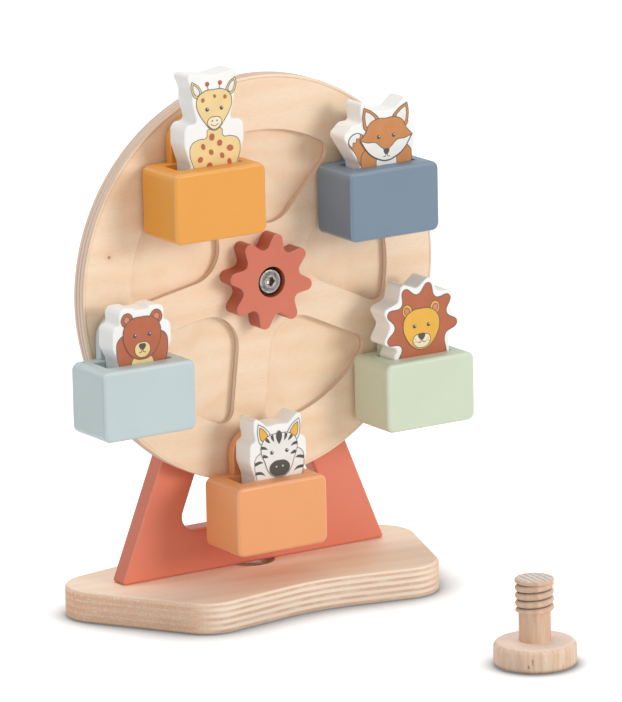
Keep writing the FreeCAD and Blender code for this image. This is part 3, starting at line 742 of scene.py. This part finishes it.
def makeWheelRim(values):
    # a thin finely divided band over the wheel's rounded edge, front and back
    front, back, rounding, depth, margin, proud, steps = [
        values[key] for key in ("front", "back", "rounding", "depth", "margin", "proud", "steps")]
    outer = values["radius"] + proud
    middle = values["radius"] - rounding
    inner = middle - values["lap"]
    bend = rounding + proud
    hold = rounding + margin
    arc = [math.radians(90 * i / values["roundSteps"]) for i in range(values["roundSteps"] + 1)]
    frontArc = [(middle + bend * math.sin(a), front + rounding - bend * math.cos(a)) for a in arc]
    backArc = [(r, front + back - y) for r, y in reversed(frontArc)]
    profile = [(inner, frontArc[0][1]), (middle - margin, frontArc[0][1])] + frontArc
    profile += [(outer, front + hold), (outer, back - hold)]
    profile += backArc + [(middle - margin, backArc[-1][1]), (inner, backArc[-1][1])]
    profile += [(inner, back - depth), (middle - depth, back - rounding)]
    profile += [(middle - depth, front + rounding), (inner, front + depth)]
    x, z = values["centre"]
    count = len(profile)
    points = []
    faces = []
    for i in range(steps):
        turn = 2 * math.pi * i / steps
        points += [(x + r * math.cos(turn), y, z + r * math.sin(turn)) for r, y in profile]
        here, there = i * count, (i + 1) % steps * count
        for j in range(count):
            after = (j + 1) % count
            faces.append((here + j, here + after, there + after, there + j))
    mesh = bpy.data.meshes.new("wheel_rim")
    mesh.from_pydata(points, [], faces)
    ring = bmesh.new()
    ring.from_mesh(mesh)
    bmesh.ops.recalc_face_normals(ring, faces=ring.faces)
    ring.to_mesh(mesh)
    ring.free()
    mesh.shade_smooth()
    mesh.materials.append(wheelPly)
    rim = addItem("wheel_rim", mesh)
    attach(rim, "wheel")


makeWheelRim(wheelRim)
print("wheel rim rounded")

inks = {
    "rust": (186, 101, 66),
    "fox": (206, 136, 76),
    "cream": (245, 216, 152),
    "pale": (250, 234, 200),
    "amber": (241, 183, 66),
    "white": (244, 242, 237),
    "line": (92, 86, 76),
    "dark": (74, 70, 64),
    "rose": (214, 138, 106),
}
printing = {
    "clouds": 130,
    "dust": 1800,
    "darkInk": 0.93,
    "lineWidth": 0.42 * mm,
    "lineFlatness": 0.12,
    "lineSpacing": 0.5 * mm,
    "layerStep": 0.05 * mm,
    "firstLayer": 0.03 * mm,
    "backing": 0.05 * mm,
    "footGap": 2.2,
    "seed": 7,
    "roughness": 0.5,
}

# Each shape is (ink, layer, way, points) in millimetres, across from the figure's middle and up from the box.
# "half" is closed by its own mirror image, "pair" is drawn on both sides and "one" is drawn once.
# A point with a third value is a sharp corner. "middle" is how far right of its box's middle a figure stands.
# "eyes" holds their layer, their distance from the middle and their height.
drawings = {
    "giraffe": {
        "middle": 2.7,
        "shift": (0.4, -1.4),
        "fills": [
            ("cream", 0, "half", [(0, 21.5), (4.4, 21.5), (5.4, 17.4), (10.2, 16.8), (14.9, 14.6),
                                  (16.2, 9.4), (14.0, 1.6), (12.8, -6.0), (12.4, -19.6, 1), (0, -19.6, 1)]),
            ("cream", 1, "pair", [(8.0, 41.4), (9.6, 46.2), (14.0, 49.3, 1), (14.3, 44.6), (10.8, 39.8)]),
            ("white", 2, "pair", [(9.3, 42.0), (10.4, 45.6), (13.2, 47.8, 1), (13.1, 44.4), (10.7, 41.2)]),
            ("cream", 3, "half", [(0, 43.7), (5.8, 43.3), (10.2, 40.4), (11.3, 36.0), (9.6, 30.9),
                                  (6.0, 25.6), (2.8, 22.0), (0, 21.0)]),
            ("pale", 4, "half", [(0, 28.6), (3.4, 27.8), (4.6, 25.4), (2.7, 22.6), (0, 21.6)]),
        ],
        "lines": [(4, "half", [(0, 23.4), (1.4, 23.9), (2.4, 24.7)]),
                  (1, "pair", [(3.3, 42.6), (3.7, 44.6), (4.0, 46.2)])],
        "eyes": (5, 4.6, 33.0),
        "dots": [("dark", 5, 0.45, [(-1.5, 26.3), (1.5, 26.3)]),
                 ("rust", 2, 1.35, [(-4.1, 47.0), (4.1, 47.0)])],
        "blotches": [
            ("rust", 1, 1.9, 7, 0.28, [
                (-1.9, 17.4), (3.0, 13.6), (-7.6, 12.6), (-2.6, 9.0), (9.6, 10.0), (4.4, 6.4), (-9.6, 5.6),
                (-3.8, 1.6), (9.0, 2.6), (2.2, -2.2), (-8.6, -4.2), (7.6, -7.6), (-2.4, -9.0), (3.6, -14.0),
                (-7.8, -13.4)]),
            ("rust", 4, 1.25, 7, 0.25, [(-7.2, 38.4), (7.0, 38.9), (0.4, 39.9)]),
        ],
    },
    "fox": {
        "middle": 0.4,
        "shift": (0.6, -2.4),
        "fills": [
            ("fox", 0, "one", [(-11.0, -2.0), (-17.4, 4.4), (-20.2, 10.4), (-24.8, 17.9), (-21.2, 21.9),
                               (-15.6, 21.0), (-11.5, 14.0)]),
            ("white", 1, "one", [(-24.6, 17.9), (-21.2, 21.7), (-17.0, 21.3), (-17.7, 18.8, 1),
                                 (-19.4, 19.4, 1), (-19.9, 16.9, 1), (-21.8, 17.2, 1), (-22.1, 14.0, 1)]),
            ("fox", 2, "half", [(0, 12.0), (9.0, 13.0), (15.4, 10.6), (16.8, 4.6), (15.0, -2.6), (14.0, -9.0),
                                (13.8, -19.6, 1), (0, -19.6, 1)]),
            ("white", 3, "half", [(0, 10.0), (5.4, 8.0), (6.6, 0.4), (4.4, -7.6), (0, -13.6, 1)]),
            ("fox", 4, "pair", [(4.6, 27.4), (8.2, 32.6), (14.3, 35.9, 1), (15.2, 29.4), (12.6, 22.6)]),
            ("white", 5, "pair", [(6.9, 27.8), (9.5, 31.8), (13.3, 33.9, 1), (13.7, 29.0), (11.6, 24.6)]),
            ("fox", 6, "half", [(0, 28.5), (5.4, 28.7), (10.8, 26.6), (13.4, 21.9), (17.4, 17.6, 1),
                                (11.6, 9.6), (5.4, 5.7), (0, 4.4)]),
            ("white", 7, "half", [(0, 10.4), (3.0, 12.2), (7.4, 15.6), (12.4, 16.0), (16.9, 17.5, 1),
                                  (11.4, 9.9), (5.3, 6.1), (0, 4.8)]),
            ("dark", 8, "half", [(0, 11.3), (1.6, 11.0), (1.7, 10.0), (0, 8.3)]),
        ],
        "lines": [(8, "half", [(0, 8.3), (0.9, 7.0), (2.2, 6.9)])],
        "eyes": (8, 4.9, 18.4),
    },
    "lion": {
        "middle": 0.5,
        "shift": (0.0, -1.6),
        "fills": [
            ("amber", 0, "half", [(0, 4.0), (10.0, 4.0), (15.4, 0.0), (15.8, -8.0), (15.4, -19.6, 1),
                                  (0, -19.6, 1)]),
            ("amber", 2, "pair", [(6.2, 27.2), (7.2, 30.8), (10.4, 31.6), (12.4, 28.8), (11.0, 25.0),
                                  (7.6, 24.6)]),
            ("rose", 3, "pair", [(7.7, 27.4), (8.5, 29.6), (10.4, 29.9), (11.2, 28.2), (10.2, 26.2),
                                 (8.6, 26.0)]),
            ("amber", 4, "half", [(0, 28.6), (6.4, 27.8), (11.0, 24.0), (12.2, 18.9), (10.2, 12.4),
                                  (5.6, 7.0), (0, 5.0)]),
            ("pale", 5, "half", [(0, 13.4), (3.8, 13.6), (5.9, 10.9), (4.2, 7.4), (0, 6.0)]),
            ("dark", 6, "half", [(0, 14.2), (2.0, 13.9), (2.1, 12.7), (0, 10.8)]),
        ],
        "lines": [(6, "half", [(0, 10.8), (0.9, 9.3), (2.6, 9.4)])],
        "eyes": (5, 4.7, 18.8),
        "dots": [("line", 6, 0.27, [
            (-4.4, 11.2), (-3.5, 9.9), (-4.7, 9.6), (4.4, 11.2), (3.5, 9.9), (4.7, 9.6)])],
    },
    "zebra": {
        "middle": 4.0,
        "shift": (0.6, -2.4),
        "fills": [
            ("white", 0, "half", [(0, 18.0), (9.0, 18.0), (15.0, 15.6), (16.2, 9.6), (14.6, 1.6),
                                  (12.8, -6.0), (12.4, -19.6, 1), (0, -19.6, 1)]),
            ("white", 2, "pair", [(5.8, 25.6), (8.6, 31.2), (13.4, 34.4, 1), (13.9, 28.6), (11.2, 22.4)]),
            ("amber", 3, "pair", [(7.6, 26.0), (9.6, 30.4), (12.5, 32.4, 1), (12.6, 28.4), (10.8, 24.4)]),
            ("white", 4, "half", [(0, 27.4), (6.2, 27.0), (10.8, 23.6), (11.9, 18.8), (9.6, 12.0), (7.4, 6.6),
                                  (4.2, 3.4), (0, 2.6)]),
            ("dark", 5, "half", [(0, 12.0), (4.2, 11.2), (6.6, 8.0), (4.4, 4.2), (0, 3.2)]),
            ("dark", 5, "half", [(0, 29.0, 1), (1.5, 27.6), (1.7, 25.0), (0, 21.4, 1)]),
        ],
        "eyes": (5, 4.9, 17.0),
        "dots": [("pale", 6, 0.5, [(-2.1, 8.6), (2.1, 8.6)])],
    },
    "bear": {
        "middle": 1.6,
        "shift": (0.0, -2.2),
        "fills": [
            ("rust", 0, "half", [(0, 19.0), (9.0, 19.4), (15.0, 16.8), (16.4, 10.2), (14.8, 2.0),
                                 (12.4, -6.0), (11.8, -19.6, 1), (0, -19.6, 1)]),
            ("cream", 1, "half", [(0, 7.0), (5.6, 5.6), (7.2, -1.0), (5.6, -8.4), (0, -11.4)]),
            ("rust", 2, "pair", [(5.8, 26.6), (6.4, 29.6), (9.6, 31.0), (12.6, 28.8), (12.4, 24.8),
                                 (9.0, 23.4)]),
            ("rose", 3, "pair", [(7.6, 26.8), (8.2, 28.7), (9.9, 29.2), (11.2, 27.8), (10.9, 25.9),
                                 (9.2, 25.2)]),
            ("rust", 4, "half", [(0, 28.1), (6.4, 27.3), (11.0, 23.4), (12.0, 17.8), (10.2, 11.2), (6.0, 6.0),
                                 (0, 4.3)]),
            ("cream", 5, "half", [(0, 14.0), (3.7, 13.0), (5.0, 9.8), (3.3, 6.4), (0, 5.3)]),
            ("dark", 6, "half", [(0, 13.0), (1.9, 12.6), (1.9, 11.4), (0, 9.8)]),
        ],
        "lines": [(6, "half", [(0, 9.8), (0.8, 8.3), (2.2, 8.2)])],
        "eyes": (5, 4.7, 17.8),
    },
}
eyeShape = {"ink": "dark", "radius": 1.15, "glintInk": "white", "glintRadius": 0.36, "glintShift": 0.4}

# the lion's mane follows the round points of its block, a little inside them
maneShape = {
    "centre": 17.7,
    "tip": 24.0,
    "dip": 17.7,
    "points": 6,
    "spacing": 40.8,
    "turn": 7.5,
    "chin": -6.0,
    "cheeks": [(9.0, 1.2), (15.4, 2.6)],
    "aboveChin": 6.0,
}
# dark bands of the zebra: start, middle and end, each drawn on both sides with a width that tapers inwards
zebraBands = {
    "face": (5, [((11.9, 20.6), (9.6, 20.2), (7.4, 19.0)), ((10.9, 15.8), (8.8, 15.2), (7.0, 14.6)),
                 ((4.7, 26.9), (4.2, 24.8), (3.2, 22.8)), ((8.6, 25.4), (7.2, 23.8), (5.7, 22.6))]),
    "body": (1, [((16.0, 11.6), (12.6, 12.4), (10.4, 12.0)), ((15.7, 6.4), (12.2, 6.2), (9.2, 4.4)),
                 ((14.3, 0.8), (10.6, -0.2), (7.4, -2.6)), ((13.0, -5.2), (9.6, -6.8), (6.4, -9.4)),
                 ((12.5, -11.4), (9.4, -13.0), (6.2, -15.8))]),
    "width": 1.9,
    "middleShare": 0.8,
}


def inkMaterial(name, colour):
    material, tree, shader = startMaterial("ink_" + name)
    full = plainColour(*colour)
    cloud = objectNoise(tree, printing["clouds"], 3.0)
    dust = objectNoise(tree, printing["dust"], 1.0)
    amount = fade(tree, weighedSum(tree, cloud, 0.7, dust, 0.3), 0.3, 0.7)
    inked = blendColour(tree, amount, full, darkened(full, printing["darkInk"]))
    setSurface(tree, shader, inked, cloud, printing["roughness"], 0.04, 0.08)
    addBump(tree, shader, dust, 0.1, 0.03 * mm)
    return material


inkOf = {name: inkMaterial(name, colour) for name, colour in inks.items()}


def flipped(points):
    return [(-p[0],) + tuple(p[1:]) for p in points]


def wholeOutlines(way, points):
    if way == "half":
        return [points + [p for p in reversed(flipped(points)) if abs(p[0]) > 1e-6]]
    if way == "pair":
        return [points, flipped(points)]
    return [points]


def wholeLines(way, points):
    if way == "half":
        return [list(reversed(flipped(points)))[:-1] + points]
    return wholeOutlines(way, points)


def curveThrough(name, runs, closed):
    # runs are (points, height); the points become smooth or sharp ones on a Bezier line
    curve = bpy.data.curves.new(name, "CURVE")
    curve.dimensions = "3D"
    curve.resolution_u = 10
    for points, height in runs:
        spline = curve.splines.new("BEZIER")
        spline.bezier_points.add(len(points) - 1)
        for spot, p in zip(spline.bezier_points, points):
            spot.co = (p[0] * mm, p[1] * mm, height)
            spot.handle_left_type = spot.handle_right_type = "VECTOR" if len(p) > 2 else "AUTO"
        spline.use_cyclic_u = closed
    return addItem(name, curve)


def layerTop(layer):
    return printing["firstLayer"] + printing["layerStep"] * layer


def filledShape(points, layer, ink):
    item = curveThrough("inkFill", [(points, 0.0)], True)
    item.data.dimensions = "2D"
    item.data.fill_mode = "BOTH"
    thickness = layerTop(layer) + printing["backing"]
    item.data.extrude = thickness / 2
    mesh = shapedMesh(item)
    mesh.transform(Matrix.Translation((0, 0, thickness / 2 - printing["backing"])))
    mesh.materials.clear()
    mesh.materials.append(inkOf[ink])
    return mesh


def taperedBand(start, middle, end, values):
    # outline of one band, from its wide outer end to its pointed inner end
    across = Vector((end[1] - start[1], start[0] - end[0])).normalized() * values["width"] / 2
    inner = across * values["middleShare"]
    upper = [(start[0] + across.x, start[1] + across.y, 1), (middle[0] + inner.x, middle[1] + inner.y)]
    lower = [(middle[0] - inner.x, middle[1] - inner.y), (start[0] - across.x, start[1] - across.y, 1)]
    return upper + [(end[0], end[1], 1)] + lower


def manePoints(shape):
    cheeks = [(x, shape["chin"] + rise) for x, rise in shape["cheeks"]]
    first = 90.0 + shape["turn"] - (shape["points"] - 1) * shape["spacing"] / 2
    points = list(cheeks)
    for i in range(2 * shape["points"] + 1):
        angle = math.radians(first + (i - 1) * shape["spacing"] / 2)
        reach = shape["tip"] if i % 2 else shape["dip"]
        spot = (reach * math.cos(angle), shape["centre"] + reach * math.sin(angle))
        if spot[1] > shape["chin"] + shape["aboveChin"]:
            points.append(spot)
    return points + flipped(reversed(cheeks)) + [(0, shape["chin"])]


def printedLines(runs):
    flatness = printing["lineFlatness"]
    sizes = {"Width": printing["lineWidth"], "Flatness": flatness, "Spacing": printing["lineSpacing"],
             "Ink": inkOf["line"]}
    meshes = []
    for closed in (True, False):
        # the heights are raised first, as the tree presses the line flat
        chosen = [(points, height / flatness) for points, height, loop in runs if loop == closed]
        if chosen:
            meshes.append(runTree(curveThrough("inkLines", chosen, closed), lineTree, sizes))
    return meshes


def printedDots(spots, layer, radius, sides, variation, ink):
    top = layerTop(layer)
    thickness = top + printing["backing"]
    mesh = bpy.data.meshes.new("inkSpots")
    mesh.from_pydata([(x * mm, z * mm, top - thickness / 2) for x, z in spots], [], [])
    sizes = {"Radius": radius * mm, "Thickness": thickness, "Sides": sides, "Variation": variation,
             "Seed": printing["seed"], "Ink": inkOf[ink]}
    return runTree(addItem("inkSpots", mesh), dotTree, sizes)


def eyeDots(layer, apart, height):
    shift = eyeShape["glintShift"]
    return [(eyeShape["ink"], layer, eyeShape["radius"], [(-apart, height), (apart, height)]),
            (eyeShape["glintInk"], layer + 1, eyeShape["glintRadius"],
             [(-apart + shift, height + shift), (apart + shift, height + shift)])]


def joinMeshes(name, meshes):
    # one mesh with one slot for each ink that it uses
    slots = []
    joined = bmesh.new()
    for mesh in meshes:
        for material in mesh.materials:
            if material not in slots:
                slots.append(material)
        first = len(joined.faces)
        joined.from_mesh(mesh)
        joined.faces.ensure_lookup_table()
        for face in joined.faces[first:]:
            face.material_index = slots.index(mesh.materials[face.material_index])
        bpy.data.meshes.remove(mesh)
    bmesh.ops.remove_doubles(joined, verts=joined.verts, dist=1e-7)
    bmesh.ops.recalc_face_normals(joined, faces=joined.faces)
    result = bpy.data.meshes.new(name)
    joined.to_mesh(result)
    joined.free()
    for material in slots:
        result.materials.append(material)
    return result


def printFigure(animal, drawing):
    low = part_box("figure_" + animal)[0]
    boxLow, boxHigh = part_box("gondola_box_" + animal)
    lowest = (low.z - boxHigh.z) / mm + printing["footGap"]
    middle = drawing["middle"] * mm + (boxLow.x + boxHigh.x) / 2
    across, up = drawing["shift"]
    meshes = []
    lines = []

    def moved(points):
        return [(p[0] + across, max(p[1] + up, lowest)) + tuple(p[2:]) for p in points]

    fills = list(drawing["fills"])
    if animal == "lion":
        mane = [(x - across, z - up) for x, z in manePoints(maneShape)]
        fills.insert(1, ("rust", 1, "one", mane))
    for ink, layer, way, points in fills:
        for outline in wholeOutlines(way, points):
            meshes.append(filledShape(moved(outline), layer, ink))
            lines.append((moved(outline), layerTop(layer), True))
    if animal == "zebra":
        for layer, bands in (zebraBands["face"], zebraBands["body"]):
            for start, inner, end in bands:
                for outline in wholeOutlines("pair", taperedBand(start, inner, end, zebraBands)):
                    meshes.append(filledShape(moved(outline), layer, "dark"))
    for layer, way, points in drawing.get("lines", []):
        lines += [(moved(run), layerTop(layer), False) for run in wholeLines(way, points)]
    for ink, layer, radius, spots in eyeDots(*drawing["eyes"]) + drawing.get("dots", []):
        meshes.append(printedDots(moved(spots), layer, radius, 20, 0.0, ink))
    for ink, layer, radius, sides, variation, spots in drawing.get("blotches", []):
        meshes.append(printedDots(moved(spots), layer, radius, sides, variation, ink))
    meshes += printedLines(lines)
    mesh = joinMeshes("print_" + animal, meshes)
    # the drawing is stood up against the figure's front face
    mesh.transform(Matrix.Translation((middle, low.y, boxHigh.z)) @ Matrix.Rotation(math.radians(90), 4, "X"))
    printed = addItem("print_" + animal, mesh)
    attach(printed, "figure_" + animal)


for animal in animals:
    printFigure(animal, drawings[animal])
print("figures printed")
